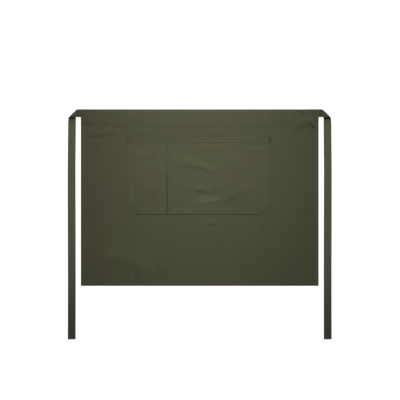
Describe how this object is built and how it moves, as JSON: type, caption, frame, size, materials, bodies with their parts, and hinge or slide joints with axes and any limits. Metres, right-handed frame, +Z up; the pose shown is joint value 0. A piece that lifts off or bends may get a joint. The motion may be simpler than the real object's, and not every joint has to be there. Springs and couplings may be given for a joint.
{
  "type": "waist apron",
  "caption": "Long waist apron of heavy olive twill, lying face up, with a wide two-room front pocket and fabric ties folded down.",
  "frame": {"origin": "middle of the footprint, on the surface that the apron lies on", "axes": "+Z up from the surface, +Y towards the waistband, +X to the right as the apron is looked at from above"},
  "size_m": [0.8552, 0.745, 0.0097],
  "materials": {
    "panel_twill": "matt heavy olive twill",
    "band_twill": "matt heavy olive twill",
    "pocket_twill": "matt heavy olive twill",
    "tie_twill": "matt olive twill tape"
  },
  "bodies": {
    "root": {"front_panel": "panel_twill", "waistband": "band_twill", "pocket": "pocket_twill", "left_tie": "tie_twill", "right_tie": "tie_twill"}
  },
  "joints": []
}
